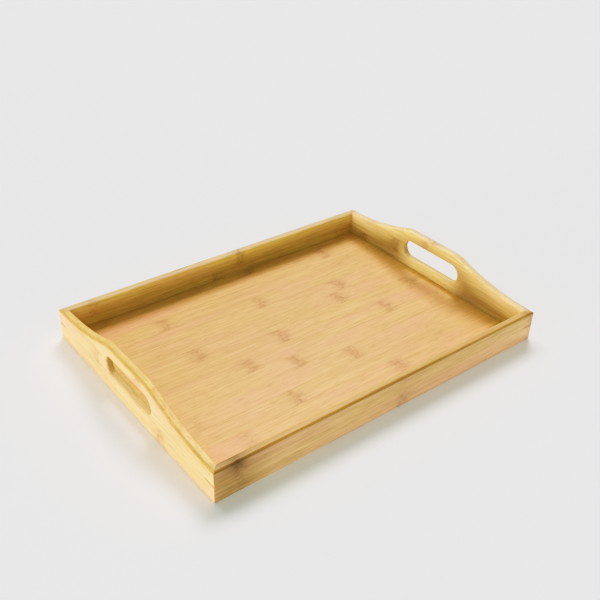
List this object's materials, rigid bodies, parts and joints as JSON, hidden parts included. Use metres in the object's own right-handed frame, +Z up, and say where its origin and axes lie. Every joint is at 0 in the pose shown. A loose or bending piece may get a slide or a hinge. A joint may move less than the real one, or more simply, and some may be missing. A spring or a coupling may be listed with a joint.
{
  "type": "serving tray",
  "caption": "Rectangular bamboo serving tray: mitred and keyed walls, arched ends with stadium hand slots, and a flat base held in a groove.",
  "frame": {"origin": "middle of the tray's footprint, on the surface that it stands on", "axes": "+X along the long walls towards the right handle wall, +Y across the tray towards the back wall, +Z up"},
  "size_m": [0.42, 0.305, 0.056],
  "materials": {
    "long_wall_bamboo": "clear satin lacquer on side-pressed bamboo, grain along the wall",
    "handle_wall_bamboo": "clear satin lacquer on side-pressed bamboo, grain along the wall",
    "floor_bamboo": "clear satin lacquer on flat-pressed bamboo strips with knuckle marks, grain along the tray",
    "core_bamboo": "raw bamboo cross ply, hidden",
    "underside_bamboo": "thin matt lacquer on flat-pressed bamboo strips, grain along the tray",
    "key_bamboo": "caramelised bamboo key, sanded flush and lacquered with the walls"
  },
  "bodies": {
    "root": {"front_wall": "long_wall_bamboo", "back_wall": "long_wall_bamboo", "left_handle_wall": "handle_wall_bamboo", "right_handle_wall": "handle_wall_bamboo", "base_top_ply": "floor_bamboo", "base_core_ply": "core_bamboo", "base_bottom_ply": "underside_bamboo", "front_left_corner_key": "key_bamboo", "front_right_corner_key": "key_bamboo", "back_left_corner_key": "key_bamboo", "back_right_corner_key": "key_bamboo"}
  },
  "joints": []
}
